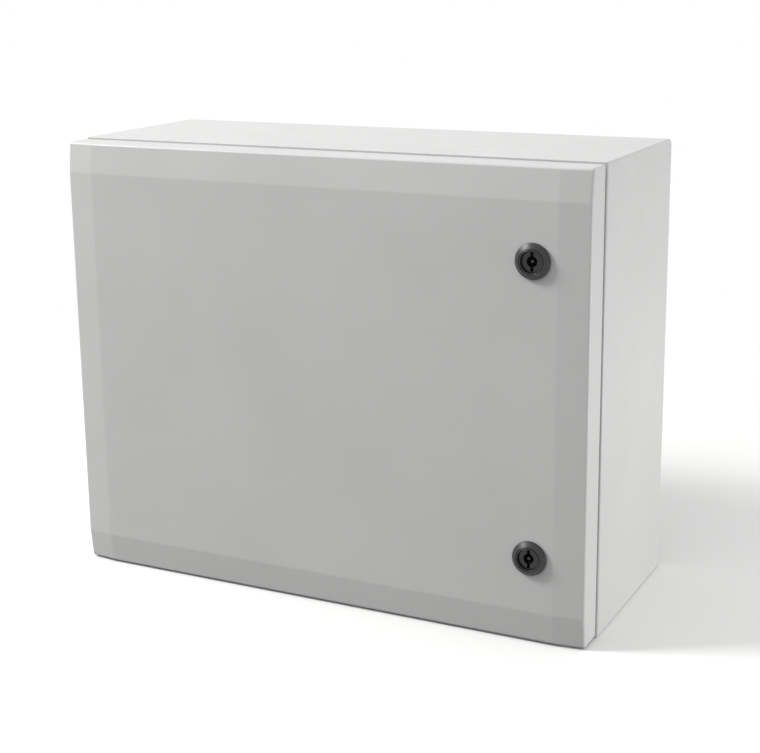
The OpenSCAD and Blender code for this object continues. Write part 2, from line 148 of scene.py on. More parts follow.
def cut_across(bm, faces, axis, at):
    """Divides some faces along a plane square to an axis, and returns what they became."""
    normal = Vector((0, 0, 0))
    normal[axis] = 1
    parts = list(faces) + [e for f in faces for e in f.edges] + [v for f in faces for v in f.verts]
    done = bmesh.ops.bisect_plane(bm, geom=list(dict.fromkeys(parts)), dist=1e-6,
                                  plane_co=normal * at, plane_no=normal)
    return [g for g in done["geom"] if isinstance(g, bmesh.types.BMFace)]


def round_edges(bm, edges, radius, segments):
    bmesh.ops.bevel(bm, geom=list(edges), offset=radius, offset_type="OFFSET", affect="EDGES",
                    segments=segments, profile=0.5, material=-1, clamp_overlap=True)


def square_edges(bm):
    """Edges where two faces meet at about a right angle."""
    return [e for e in bm.edges if e.is_manifold and e.calc_face_angle(0) > math.radians(60)]


def rounded_loop(bm, half_x, half_z, y, radius, segments):
    """The edges of a rounded rectangle square to Y, with no face."""
    place = Matrix.Translation((0, y, 0)) @ Matrix.Rotation(math.pi / 2, 4, "X")
    made = bmesh.ops.create_grid(bm, x_segments=1, y_segments=1, size=1.0)["verts"]
    bmesh.ops.scale(bm, vec=(half_x, half_z, 1), verts=made)
    bmesh.ops.transform(bm, matrix=place, verts=made)
    bmesh.ops.bevel(bm, geom=made, offset=radius, offset_type="OFFSET", affect="VERTICES",
                    segments=segments, profile=0.5, material=-1)
    area = 4 * half_x * half_z
    face = min((f for f in bm.faces if lies_at(f, 1, y)), key=lambda f: abs(f.calc_area() - area))
    edges = list(face.edges)
    bmesh.ops.delete(bm, geom=[face], context="FACES_ONLY")
    return edges


def loop_edges(verts):
    """The edges that join some new vertices, each once and in order."""
    return list(dict.fromkeys(e for v in verts for e in v.link_edges))


def fill_ring(bm, outer, inner, normal):
    """Closes the flat ring between two loops of edges, and returns its faces."""
    made = bmesh.ops.triangle_fill(bm, use_beauty=True, edges=outer + inner, normal=normal)["geom"]
    return [g for g in made if isinstance(g, bmesh.types.BMFace)]


def punch_round(bm, faces, centre, margin, radius, turn, flat=None):
    """Puts a round hole through a flat sheet, or one with two flats, and returns the other faces."""
    axes = [a for a in range(3) if abs((turn @ Vector((0, 0, 1)))[a]) < 0.5]
    for axis in axes:
        for step in (-margin, margin):
            faces = cut_across(bm, faces, axis, centre[axis] + step)
    patch = min(faces, key=lambda f: (f.calc_center_median() - centre).length)
    faces.remove(patch)
    edges = list(patch.edges)
    bmesh.ops.delete(bm, geom=[patch], context="FACES_ONLY")
    rim = bmesh.ops.create_circle(bm, cap_ends=False, segments=32, radius=radius,
                                  matrix=Matrix.Translation(centre) @ turn)["verts"]
    for vert in rim if flat else ():
        vert.co.x = centre.x + max(-flat, min(flat, vert.co.x - centre.x))
    fill_ring(bm, edges, loop_edges(rim), turn @ Vector((0, 0, 1)))
    return faces


def make_piece(name, bm, material, body, nodes, wall=0.0, edge=0.0, sharp=32):
    """Turns a bmesh into a finished piece that rides on a body and stands for CAD nodes."""
    bmesh.ops.remove_doubles(bm, verts=bm.verts, dist=1e-6)
    bmesh.ops.recalc_face_normals(bm, faces=bm.faces)
    mesh = bpy.data.meshes.new(name)
    bm.to_mesh(mesh)
    bm.free()
    mesh.shade_smooth()
    mesh.set_sharp_from_angle(angle=math.radians(sharp))
    piece = bpy.data.objects.new(name, mesh)
    bpy.context.collection.objects.link(piece)
    piece.data.materials.append(material)
    if wall:
        solidify = piece.modifiers.new("sheet", "SOLIDIFY")
        solidify.thickness = wall
        solidify.offset = -1
        solidify.use_even_offset = True
    if edge:
        bevel = piece.modifiers.new("broken_edges", "BEVEL")
        bevel.width = edge
        bevel.segments = 2
        bevel.limit_method = "ANGLE"
        bevel.angle_limit = math.radians(50)
    piece.modifiers.new("flat_faces_rule", "WEIGHTED_NORMAL").keep_sharp = True
    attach(piece, body)
    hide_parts(*nodes)
    return piece


# Ways that a turned part can face: its own +Z goes up, towards the door, or towards the wall
UPWARD = Matrix.Identity(4)
FRONTWARD = Matrix.Rotation(math.pi / 2, 4, "X")
REARWARD = Matrix.Rotation(-math.pi / 2, 4, "X")

body_low, body_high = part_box("body_shell")
front_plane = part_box("hinge_block_upper")[1].y
lip_tip = body_low.y
FRAME_W = 0.024
FRAME_BEND_W = 0.010
LIP_CORNER = 0.006
bm = block((body_low.x, front_plane, body_low.z), body_high)
top_rear = [e for e in bm.edges if lies_at(e, 1, body_high.y) and lies_at(e, 2, body_high.z)]
round_edges(bm, top_rear, TOP_BEND, 8)

wall_holes = next(m for m in frame["record"]["mounts"] if m["name"] == "wall_bolts")["dims"]
HOLE_MARGIN = 0.011
rear = [f for f in bm.faces if lies_at(f, 1, body_high.y)]
for sx in (-1, 1):
    for sz in (-1, 1):
        centre = Vector((sx * wall_holes["spacing_x_mm"], 0, sz * wall_holes["spacing_y_mm"])) / 2000
        rear = punch_round(bm, rear, centre, HOLE_MARGIN, wall_holes["hole_r_mm"] / 1000, FRONTWARD)

gland_low, gland_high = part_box("gland_plate")
GLAND_RIM = 0.020
floor = [f for f in bm.faces if lies_at(f, 2, body_low.z)]
for axis in (0, 1):
    for at in (gland_low[axis] + GLAND_RIM, gland_high[axis] - GLAND_RIM):
        floor = cut_across(bm, floor, axis, at)
middle = Vector(((gland_low.x + gland_high.x) / 2, (gland_low.y + gland_high.y) / 2, body_low.z))
opening = min(floor, key=lambda f: (f.calc_center_median() - middle).length)
bmesh.ops.delete(bm, geom=[opening], context="FACES_ONLY")

front_face = [f for f in bm.faces if lies_at(f, 1, front_plane)]
bmesh.ops.inset_region(bm, faces=front_face, thickness=FRAME_BEND_W, use_even_offset=True)
door_opening = min((f for f in bm.faces if lies_at(f, 1, front_plane)),
                   key=lambda f: f.calc_center_median().xz.length)
inner_edges = list(door_opening.edges)
bmesh.ops.delete(bm, geom=[door_opening], context="FACES_ONLY")
lip = rounded_loop(bm, body_high.x - FRAME_W, body_high.z - FRAME_W, front_plane, LIP_CORNER, 6)
fill_ring(bm, inner_edges, lip, (0, -1, 0))
lip = [e for e in bm.edges if e.is_boundary and lies_at(e, 1, front_plane)]
raised = bmesh.ops.extrude_edge_only(bm, edges=lip)["geom"]
bmesh.ops.translate(bm, vec=(0, lip_tip - front_plane, 0), verts=verts_in(raised))
bends = []
for edge in square_edges(bm):
    on_side = lies_at(edge, 0, body_high.x) or lies_at(edge, 0, body_low.x)
    on_top_or_floor = lies_at(edge, 2, body_high.z) or lies_at(edge, 2, body_low.z)
    if on_side or on_top_or_floor and not lies_at(edge, 1, front_plane):
        bends.append(edge)
round_edges(bm, bends, BEND, 4)
make_piece("body_shell_sheet", bm, powder_coat, "cabinet", ["body_shell"],
           wall=SHEET, edge=BROKEN_EDGE)

# Mounting plate. Sheared from 2 mm hot-dip galvanised strip, which leaves a faint spangle of
# zinc crystals about 9 mm across. It has notched corners, and it takes the devices.
# Neighbouring crystals catch the light differently, each with its own brightness and grain.
galvanised, shader, where = new_material("hot_dip_galvanised_strip", 0.38, metallic=1.0)
SPANGLE = 0.009
CRYSTAL_WARP = 0.004
warp = add(galvanised, "ShaderNodeTexNoise", {}, {"Vector": where, "Scale": 1 / SPANGLE, "Detail": 2.0})
bent = add(galvanised, "ShaderNodeMix", {"data_type": "VECTOR"},
           {0: CRYSTAL_WARP, 4: where, 5: warp.outputs["Color"]}).outputs[1]
crystals = add(galvanised, "ShaderNodeTexVoronoi", {}, {"Vector": bent, "Scale": 1 / SPANGLE})
shade = add(galvanised, "ShaderNodeSeparateColor", {}, {"Color": crystals.outputs["Color"]}).outputs["Red"]
link(galvanised, blend_colours(galvanised, shade, "#B3B6B8", "#C3C6C8"), shader, "Base Color")
grain = add(galvanised, "ShaderNodeMapRange", {}, {"Value": shade, "To Min": 0.33, "To Max": 0.47})
link(galvanised, grain.outputs["Result"], shader, "Roughness")
relief(galvanised, shader, mottle(galvanised, where, 0.0015, 0.0, 1.0), 0.000008)


def merged(node):
    """A copy of a CAD node's mesh with its loose triangles joined."""
    bm = bmesh.new()
    bm.from_mesh(frame["nodes"][node].data)
    bmesh.ops.remove_doubles(bm, verts=bm.verts, dist=1e-6)
    return bm


def softened(name, node, material, body, edge):
    """A CAD node's own shape, with its flat faces made whole and its edges broken."""
    bm = merged(node)
    bmesh.ops.dissolve_limit(bm, angle_limit=math.radians(1), verts=bm.verts, edges=bm.edges)
    return make_piece(name, bm, material, body, [node], edge=edge)


SHEARED_EDGE = 0.0004
softened("mounting_plate_sheet", "mounting_plate", galvanised, "cabinet", SHEARED_EDGE)

# Plate fixings. Four M8 weld studs on the rear wall, flashed with copper before welding, each
# with a moulded spacer behind the plate and a zinc-plated washer and nut in front of it.
# The copper is only microns thick, so it looks pink and a little uneven.
copper_flash, shader, where = new_material("copper_flashed_steel", 0.34, metallic=1.0)
link(copper_flash, blend_colours(copper_flash, mottle(copper_flash, where, 0.003, 0.0, 1.0),
                                 "#B4785A", "#C28B69"), shader, "Base Color")
link(copper_flash, mottle(copper_flash, where, 0.002, 0.28, 0.42), shader, "Roughness")
# Passivation leaves bright zinc with faint bluish and yellowish clouds.
zinc_plate, shader, where = new_material("blue_passivated_zinc_plate", 0.28, metallic=1.0)
link(zinc_plate, blend_colours(zinc_plate, mottle(zinc_plate, where, 0.006, 0.0, 1.0),
                               "#B9BFC6", "#C6C8C9"), shader, "Base Color")
link(zinc_plate, mottle(zinc_plate, where, 0.0025, 0.22, 0.36), shader, "Roughness")
relief(zinc_plate, shader, mottle(zinc_plate, where, 0.0008, 0.0, 1.0), 0.000006)
# Moulded without a polish, it is dull black with a fine grain.
spacer_black, shader, where = new_material("moulded_polyamide_black", 0.5, ior=1.53)
link(spacer_black, blend_colours(spacer_black, mottle(spacer_black, where, 0.002, 0.0, 1.0),
                                 "#232425", "#2A2B2C"), shader, "Base Color")
relief(spacer_black, shader, mottle(spacer_black, where, 0.0006, 0.0, 1.0), 0.00002)


def solids(node):
    """The lowest and highest corners of each separate solid in a CAD node, from left to right."""
    bm = merged(node)
    left = set(bm.verts)
    boxes = []
    for first in list(bm.verts):
        if first not in left:
            continue
        left.remove(first)
        reached = [first]
        for vert in reached:
            beyond = [e.other_vert(vert) for e in vert.link_edges if e.other_vert(vert) in left]
            reached += beyond
            left.difference_update(beyond)
        spots = [v.co.copy() for v in reached]
        boxes.append([Vector([pick(s[a] for s in spots) for a in range(3)]) for pick in (min, max)])
    bm.free()
    return sorted(boxes, key=lambda box: [round(c, 4) for c in box[0]])


def seats(node, turn):
    """A place for each solid of a CAD node: on its axis, at the end that the turn starts from."""
    axis = turn @ Vector((0, 0, 1))
    places = []
    for low, high in solids(node):
        start = [(low[a] + high[a]) / 2 - axis[a] * (high[a] - low[a]) / 2 for a in range(3)]
        places.append(Matrix.Translation(start) @ turn)
    return places


def copies(pattern, places):
    """One bmesh with a copy of a pattern at every place."""
    mesh = bpy.data.meshes.new("pattern")
    pattern.to_mesh(mesh)
    pattern.free()
    bm = bmesh.new()
    for place in places:
        known = len(bm.verts)
        bm.from_mesh(mesh)
        bm.verts.ensure_lookup_table()
        bmesh.ops.transform(bm, matrix=place, verts=bm.verts[known:])
    bpy.data.meshes.remove(mesh)
    return bm


def joined(first, second, rise=0.0):
    """Puts a second bmesh into the first, moved along +Z."""
    mesh = bpy.data.meshes.new("pattern")
    second.to_mesh(mesh)
    second.free()
    mesh.transform(Matrix.Translation((0, 0, rise)))
    first.from_mesh(mesh)
    bpy.data.meshes.remove(mesh)
    return first


def turned(profile, steps=48):
    """Spins a profile of (radius, height) points about +Z."""
    bm = bmesh.new()
    verts = [bm.verts.new((r, 0, z)) for r, z in profile]
    edges = [bm.edges.new(pair) for pair in zip(verts, verts[1:])]
    bmesh.ops.spin(bm, geom=verts + edges, cent=(0, 0, 0), axis=(0, 0, 1),
                   angle=2 * math.pi, steps=steps, use_merge=True)
    return bm


def thread(radius, pitch, start, end):
    """Profile points of a thread between two heights: flat crests at the full radius, vee roots."""
    root = radius - 0.61 * pitch
    points = []
    for i in range(round((end - start) / pitch)):
        base = start + i * pitch
        points += [(radius, base), (radius, base + 0.15 * pitch), (root, base + 0.55 * pitch),
                   (root, base + 0.7 * pitch)]
    return points


def threaded_rod(length, radius, pitch, steps=24):
    """A rolled thread wound up a helix from +Z's start, cut to length, with its ends chamfered."""
    bm = bmesh.new()
    verts = [bm.verts.new((r, 0, z)) for r, z in thread(radius, pitch, -2 * pitch, length + 2 * pitch)]
    edges = [bm.edges.new(pair) for pair in zip(verts, verts[1:])]
    bmesh.ops.spin(bm, geom=verts + edges, cent=(0, 0, 0), axis=(0, 0, 1), dvec=(0, 0, pitch / steps),
                   angle=2 * math.pi, steps=steps, use_merge=False)
    bmesh.ops.remove_doubles(bm, verts=bm.verts, dist=1e-6)
    for vert in bm.verts:
        most = radius - 0.65 * pitch + max(0.0, min(vert.co.z, length - vert.co.z))
        reach = vert.co.xy.length
        if reach > most:
            vert.co.xy *= most / reach
    for at, away in ((0, -1), (length, 1)):
        cut = bmesh.ops.bisect_plane(bm, geom=bm.verts[:] + bm.edges[:] + bm.faces[:], dist=1e-7,
                                     plane_co=(0, 0, at), plane_no=(0, 0, away), clear_outer=True)
        bmesh.ops.contextual_create(bm, geom=edges_in(cut["geom_cut"]))
    return bm


def hexed(bm, flats, inner, outer=1.0):
    """Presses what lies between two radii of a turned shape to a hexagon."""
    for vert in bm.verts:
        reach = vert.co.xy.length
        if inner < reach < outer:
            turn = math.atan2(vert.co.y, vert.co.x) % (math.pi / 3) - math.pi / 6
            most = flats / 2 / math.cos(turn)
            if reach > most:
                vert.co.xy *= most / reach
    return bm


def chamfered(flats, height):
    """Profile points of one chamfered end of a hexagon, from its face out to its corners."""
    corner = flats / 2 / math.cos(math.pi / 6)
    face = 0.475 * flats
    return [(face + (corner - face) * i / 4, height + (corner - face) * i / 4 * math.tan(math.pi / 6))
            for i in range(5)]


def nut(flats, height, bore, steps=48):
    """A hexagon nut on +Z, chamfered on both faces, with a countersunk bore."""
    sink = 0.12 * bore
    half = [(bore, sink), (bore + sink, 0)] + chamfered(flats, 0)
    profile = half + [(r, height - z) for r, z in reversed(half)] + half[:1]
    return hexed(turned(profile, steps), flats, 1.2 * bore if bore < flats / 3 else 0.46 * flats)


def ring(radius, bore, height, edge=0.0002):
    """A washer or a spacer on +Z, with its edges broken."""
    half = [(bore, edge), (bore + edge, 0), (radius - edge, 0), (radius, edge)]
    return turned(half + [(r, height - z) for r, z in reversed(half)] + half[:1])


M8 = {"radius": 0.004, "pitch": 0.00125}
M8_NUT = {"flats": 0.013, "height": 0.0065, "bore": 0.0041}
M8_WASHER = {"radius": 0.008, "bore": 0.0043, "height": 0.0016}
SPACER = {"radius": 0.008, "bore": 0.0043, "edge": 0.0006}
low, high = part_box("plate_studs")
bm = copies(threaded_rod(high.y - low.y, **M8), seats("plate_studs", FRONTWARD))
make_piece("plate_stud_threads", bm, copper_flash, "cabinet", ["plate_studs"])
low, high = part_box("plate_spacers")
bm = copies(ring(height=high.y - low.y, **SPACER), seats("plate_spacers", FRONTWARD))
make_piece("plate_spacer_bushes", bm, spacer_black, "cabinet", ["plate_spacers"])
bm = copies(ring(**M8_WASHER), seats("plate_washers", FRONTWARD))
make_piece("plate_washer_rings", bm, zinc_plate, "cabinet", ["plate_washers"])
bm = copies(nut(**M8_NUT), seats("plate_nuts", FRONTWARD))
make_piece("plate_hexagon_nuts", bm, zinc_plate, "cabinet", ["plate_nuts"])

# Gland plate. A blank of the body's own coated sheet, which the installer drills for cable
# glands. It lies on a foam gasket over the floor opening, held by six M6 weld studs and nuts.
# Foam that skins over as it cures is matt dark grey, with shallow dimples.
foam, shader, where = new_material("polyurethane_foam_seal", 0.75, ior=1.45)
link(foam, blend_colours(foam, mottle(foam, where, 0.004, 0.0, 1.0), "#3A3B3D", "#47484A"),
     shader, "Base Color")
relief(foam, shader, mottle(foam, where, 0.0012, 0.0, 1.0), 0.00015)
FOAM_EDGE = 0.0005
softened("gland_plate_blank", "gland_plate", powder_coat, "cabinet", SHEARED_EDGE)
softened("gland_plate_gasket", "gland_gasket", foam, "cabinet", FOAM_EDGE)
M6 = {"radius": 0.003, "pitch": 0.001}
M6_NUT = {"flats": 0.010, "height": 0.005, "bore": 0.0031}
low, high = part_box("gland_studs")
bm = copies(threaded_rod(high.z - low.z, **M6), seats("gland_studs", UPWARD))
make_piece("gland_stud_threads", bm, copper_flash, "cabinet", ["gland_studs"])
bm = copies(nut(**M6_NUT), seats("gland_nuts", UPWARD))
make_piece("gland_hexagon_nuts", bm, zinc_plate, "cabinet", ["gland_nuts"])

# Earth studs. An M8 weld stud on the floor of the body and another low on the door, each with
# two washers for the bonding conductor's lug and a nut.
for side, ride_on, turn in (("body", "cabinet", UPWARD), ("door", "door", REARWARD)):
    node = side + "_earth_stud"
    low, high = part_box(node)
    length = (high - low).dot(turn @ Vector((0, 0, 1)))
    bm = copies(threaded_rod(length, **M8), seats(node, turn))
    make_piece(side + "_earth_thread", bm, copper_flash, ride_on, [node])
    bm = copies(ring(**M8_WASHER), seats(side + "_earth_washers", turn))
    make_piece(side + "_earth_washer_rings", bm, zinc_plate, ride_on,
               [side + "_earth_washers"])
    bm = copies(nut(**M8_NUT), seats(side + "_earth_nut", turn))
    make_piece(side + "_earth_hexagon_nut", bm, zinc_plate, ride_on, [side + "_earth_nut"])

# Hinges. Zinc die castings, tumbled so that their edges are soft: a block screwed to the body
# frame from inside, and a leaf with two outer knuckles on collared M5 studs inside the door.
# Tumbling with stones leaves a matt, finely dented grey.
die_cast, shader, where = new_material("tumbled_zinc_die_casting", 0.5, metallic=1.0)
link(die_cast, blend_colours(die_cast, mottle(die_cast, where, 0.005, 0.0, 1.0), "#96999B", "#A6A8AA"),
     shader, "Base Color")
link(die_cast, mottle(die_cast, where, 0.0015, 0.42, 0.58), shader, "Roughness")
relief(die_cast, shader, mottle(die_cast, where, 0.0007, 0.0, 1.0), 0.00003)
CAST_EDGE = 0.0006
M5 = {"radius": 0.0025, "pitch": 0.0008}
M5_NUT = {"flats": 0.008, "height": 0.004, "bore": 0.0026}
HINGE_PIN_R = 0.0025
PIN_TIP = 0.0004
PIN_HEAD_T = 0.0015
PIN_HEAD_ROUND = 0.001
for end in ("upper", "lower"):
    softened("hinge_casting_block_" + end, "hinge_block_" + end, die_cast, "cabinet", CAST_EDGE)
    softened("hinge_casting_leaf_" + end, "hinge_leaf_" + end, die_cast, "door", CAST_EDGE)
    low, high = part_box("hinge_pin_" + end)
    neck = high.z - low.z - PIN_HEAD_T
    head_r = (high.x - low.x) / 2
    top = neck + PIN_HEAD_T
    profile = [(0, 0), (HINGE_PIN_R - PIN_TIP, 0), (HINGE_PIN_R, PIN_TIP), (HINGE_PIN_R, neck)]
    profile += [(head_r, neck), (head_r, top - 0.7 * PIN_HEAD_ROUND)]
    profile += [(head_r - 0.3 * PIN_HEAD_ROUND, top - 0.2 * PIN_HEAD_ROUND), (head_r - PIN_HEAD_ROUND, top)]
    bm = copies(turned(profile + [(0, top)], 32), seats("hinge_pin_" + end, UPWARD))
    make_piece("hinge_headed_pin_" + end, bm, zinc_plate, "door", ["hinge_pin_" + end])

HEAD_T = 0.0035
HEAD_FLATS = 0.008
COLLAR_R = 0.0045
COLLAR_EDGE = 0.0003
low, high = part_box("hinge_block_screws")
shank = high.y - low.y - HEAD_T
profile = [(0, 0), (HEAD_FLATS / 2 / math.cos(math.pi / 6), 0)]
profile += [(r, HEAD_T - z) for r, z in reversed(chamfered(HEAD_FLATS, 0))] + [(0, HEAD_T)]
pattern = joined(threaded_rod(shank, **M5), hexed(turned(profile), HEAD_FLATS, 0.003), shank)
make_piece("hinge_hexagon_screws", copies(pattern, seats("hinge_block_screws", REARWARD)), zinc_plate,
           "cabinet", ["hinge_block_screws"])
low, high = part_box("hinge_leaf_studs")
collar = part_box("hinge_leaf_upper")[0].y - low.y
profile = [(0, 0), (COLLAR_R, 0), (COLLAR_R, collar - COLLAR_EDGE), (COLLAR_R - COLLAR_EDGE, collar)]
pattern = joined(turned(profile + [(0, collar)]), threaded_rod(high.y - low.y - collar, **M5), collar)
make_piece("hinge_stud_threads", copies(pattern, seats("hinge_leaf_studs", REARWARD)), copper_flash,
           "door", ["hinge_leaf_studs"])
bm = copies(nut(**M5_NUT), seats("hinge_leaf_nuts", REARWARD))
make_piece("hinge_hexagon_nuts", bm, zinc_plate, "door", ["hinge_leaf_nuts"])

# Door. A 1.5 mm steel tray, 32 mm deep. Its face is crowned: full-length folds 27 mm in from
# the edges let the border fall 3 mm, which stiffens it. Notches in the left flange clear the
# hinges, and two flatted holes take the locks.
door_low, door_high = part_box("door_shell")
BAND = 0.0267
BAND_DROP = 0.003
FOLD_SOFTNESS = 0.0010
FACES_FORWARD = -0.98
LOCK_HOLE_R = 0.01125
LOCK_HOLE_FLAT = 0.01025
LOCK_HOLE_MARGIN = 0.0135
bm = block(door_low, door_high)
bmesh.ops.delete(bm, geom=[f for f in bm.faces if lies_at(f, 1, door_high.y)], context="FACES_ONLY")
face = [f for f in bm.faces if lies_at(f, 1, door_low.y)]
for axis in (0, 2):
    for at in (door_low[axis] + BAND, door_high[axis] - BAND):
        face = cut_across(bm, face, axis, at)
face_verts = {v for f in face for v in f.verts}
for axis in (0, 2):
    rim = [v for v in face_verts if abs(abs(v.co[axis]) - door_high[axis]) < 1e-5]
    bmesh.ops.translate(bm, vec=(0, BAND_DROP, 0), verts=rim)

left = [f for f in bm.faces if lies_at(f, 0, door_low.x)]
NOTCH_DEPTH = 0.016
NOTCH_HALF = 0.0135
hinge_heights = [sum(corner.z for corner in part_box("hinge_block_" + end)) / 2 for end in ("upper", "lower")]
left = cut_across(bm, left, 1, door_high.y - NOTCH_DEPTH)
for height in hinge_heights:
    for step in (-NOTCH_HALF, NOTCH_HALF):
        left = cut_across(bm, left, 2, height + step)
notches = [f for f in left if f.calc_center_median().y > door_high.y - NOTCH_DEPTH
           and min(abs(f.calc_center_median().z - height) for height in hinge_heights) < NOTCH_HALF]
bmesh.ops.delete(bm, geom=notches, context="FACES")
round_edges(bm, square_edges(bm), BEND, 4)
bm.normal_update()
fold_lines = [e for e in bm.edges if e.is_manifold and e.calc_face_angle(0) > math.radians(3)
              and all(f.normal.y < FACES_FORWARD for f in e.link_faces)]
round_edges(bm, fold_lines, FOLD_SOFTNESS, 3)
middle = [max((f for f in bm.faces if lies_at(f, 1, door_low.y)), key=lambda f: f.calc_area())]
for end in ("upper", "lower"):
    low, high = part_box("lock_seal_" + end)
    centre = (low + high) / 2
    centre.y = door_low.y
    middle = punch_round(bm, middle, centre, LOCK_HOLE_MARGIN, LOCK_HOLE_R, FRONTWARD, flat=LOCK_HOLE_FLAT)
make_piece("door_tray", bm, powder_coat, "door", ["door_shell"],
           wall=SHEET, edge=BROKEN_EDGE)

# Door gasket. Two-part polyurethane, poured as a bead on the inside of the door, where it
# foams and skins over. It stays soft, with a groove where the rain lip presses.
seal_low, seal_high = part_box("door_gasket")
SEAL_W = 0.012
SEAL_CORNER = 0.012
SEAL_INNER_CORNER = 0.003
SHOULDER = 0.0038
LIP_MARK_MARGIN = 0.0008
LIP_MARK_DEPTH = 0.0007
bm = bmesh.new()
lining = door_low.y + SHEET
outer = rounded_loop(bm, seal_high.x, seal_high.z, lining, SEAL_CORNER, 8)
inner = rounded_loop(bm, seal_high.x - SEAL_W, seal_high.z - SEAL_W, lining, SEAL_INNER_CORNER, 8)
strip = fill_ring(bm, outer, inner, (0, -1, 0))
raised = bmesh.ops.extrude_face_region(bm, geom=strip)["geom"]
bmesh.ops.translate(bm, vec=(0, seal_high.y - lining, 0), verts=verts_in(raised))
shoulders = [e for e in square_edges(bm) if lies_at(e, 1, seal_high.y)]
round_edges(bm, shoulders, SHOULDER, 5)
crest = [f for f in bm.faces if lies_at(f, 1, seal_high.y)]
bmesh.ops.inset_region(bm, faces=crest, thickness=LIP_MARK_MARGIN, depth=0.0, use_even_offset=True)
bmesh.ops.translate(bm, vec=(0, -LIP_MARK_DEPTH, 0), verts=list({v for f in crest for v in f.verts}))
make_piece("door_gasket_bead", bm, foam, "door", ["door_gasket"], sharp=60)

# Door rails. U-profiles folded from the same sheet, perforated every 25 mm for cable ties and
# document holders, spot-welded to the inside of the face and coated with the door.
RAIL_PITCH = 0.025
RAIL_HOLE_R = 0.0024
RAIL_HOLE_MARGIN = 0.0045
HOLES_EACH_WAY = 5
for side in ("left", "right"):
    low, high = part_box("door_rail_" + side)
    bm = bmesh.new()
    corners = [(low.x, low.y), (low.x, high.y), (high.x, high.y), (high.x, low.y)]
    verts = [bm.verts.new((x, y, low.z)) for x, y in corners]
    edges = [bm.edges.new(pair) for pair in zip(verts, verts[1:])]
    raised = bmesh.ops.extrude_edge_only(bm, edges=edges)["geom"]
    bmesh.ops.translate(bm, vec=(0, 0, high.z - low.z), verts=verts_in(raised))
    round_edges(bm, square_edges(bm), BEND, 4)
    web = [f for f in bm.faces if lies_at(f, 1, high.y)]
    for i in range(-HOLES_EACH_WAY, HOLES_EACH_WAY + 1):
        centre = Vector(((low.x + high.x) / 2, high.y, i * RAIL_PITCH))
        web = punch_round(bm, web, centre, RAIL_HOLE_MARGIN, RAIL_HOLE_R, FRONTWARD)
    make_piece("door_perforated_rail_" + side, bm, powder_coat, "door",
               ["door_rail_" + side], wall=SHEET, edge=BROKEN_EDGE)

# Locks. Head and flatted barrel are one moulding of black polyamide, from a spark-eroded mould
# whose texture blurs the sheen on the coned head. A groove runs round its flat top, and a recess
# takes the insert. A foam seal lies under the head, and a nut clamps it inside the door.
lock_black, shader, where = new_material("glass_filled_polyamide_black", 0.40, ior=1.53)
link(lock_black, blend_colours(lock_black, mottle(lock_black, where, 0.0015, 0.0, 1.0),
                               "#1D1E20", "#242527"), shader, "Base Color")
link(lock_black, mottle(lock_black, where, 0.003, 0.35, 0.45), shader, "Roughness")
relief(lock_black, shader, mottle(lock_black, where, 0.0004, 0.0, 1.0), 0.000015)


def arc(centre, radius, start, end, steps):
    """Points of a round stretch of a profile, between two angles in degrees."""
    angles = [math.radians(start + (end - start) * i / steps) for i in range(steps + 1)]
    return [(centre[0] + radius * math.cos(a), centre[1] + radius * math.sin(a)) for a in angles]


HEAD_TOP_R = 0.0108
RIM_ROUND = 0.0009
RIM_STRAIGHT = 0.0012
RECESS_R = 0.0091
RECESS_ROUND = 0.0003
GROOVE_R = 0.0099
GROOVE_W = 0.0007
GROOVE_DEPTH = 0.0011
RECESS_DEPTH = 0.0095
GROOVE_LIP = 0.0002
BARREL_R = 0.011
BARREL_FLAT = 0.010
BARREL_PITCH = 0.0015
BORE_R = 0.0071
LOCK_SEAL_BORE = 0.0114
LOCK_SEAL_INSET = 0.0005
LOCK_SEAL_EDGE = 0.0001
LOCK_NUT = {"flats": 0.027, "height": 0.004, "bore": 0.0111}
for end in ("upper", "lower"):
    low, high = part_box("lock_housing_" + end)
    seal_low, seal_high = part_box("lock_seal_" + end)
    head_r = (high.x - low.x) / 2
    head_t = seal_low.y - low.y
    length = high.y - low.y
    profile = [(BORE_R, length), (BORE_R, RECESS_DEPTH), (RECESS_R, RECESS_DEPTH)]
    profile += arc((RECESS_R + RECESS_ROUND, RECESS_ROUND), RECESS_ROUND, 180, 270, 4)
    profile += [(GROOVE_R - 1.5 * GROOVE_LIP, 0), (GROOVE_R, GROOVE_LIP), (GROOVE_R, GROOVE_DEPTH)]
    profile += [(GROOVE_R + GROOVE_W, GROOVE_DEPTH), (GROOVE_R + GROOVE_W, 1.5 * GROOVE_LIP)]
    profile += [(HEAD_TOP_R, GROOVE_LIP)]
    profile += arc((head_r - RIM_ROUND, head_t - RIM_STRAIGHT), RIM_ROUND, -40, 0, 5)
    profile += [(head_r, head_t), (BARREL_R, head_t)]
    profile += thread(BARREL_R, BARREL_PITCH, head_t + 2 * BARREL_PITCH, length - BARREL_PITCH / 3)
    profile += [(BARREL_R - 0.6 * BARREL_PITCH, length), (BORE_R, length)]
    bm = turned(profile, 72)
    for vert in bm.verts:
        if vert.co.z > head_t + 1e-5:
            vert.co.x = max(-BARREL_FLAT, min(BARREL_FLAT, vert.co.x))
    bm = copies(bm, seats("lock_housing_" + end, REARWARD))
    make_piece("lock_head_" + end, bm, lock_black, "door", ["lock_housing_" + end])
    pattern = ring(head_r - LOCK_SEAL_INSET, LOCK_SEAL_BORE, seal_high.y - seal_low.y, LOCK_SEAL_EDGE)
    bm = copies(pattern, seats("lock_seal_" + end, REARWARD))
    make_piece("lock_washer_seal_" + end, bm, foam, "door", ["lock_seal_" + end])
    bm = copies(nut(**LOCK_NUT, steps=72), seats("lock_nut_" + end, REARWARD))
    make_piece("lock_hexagon_nut_" + end, bm, zinc_plate, "door", ["lock_nut_" + end])

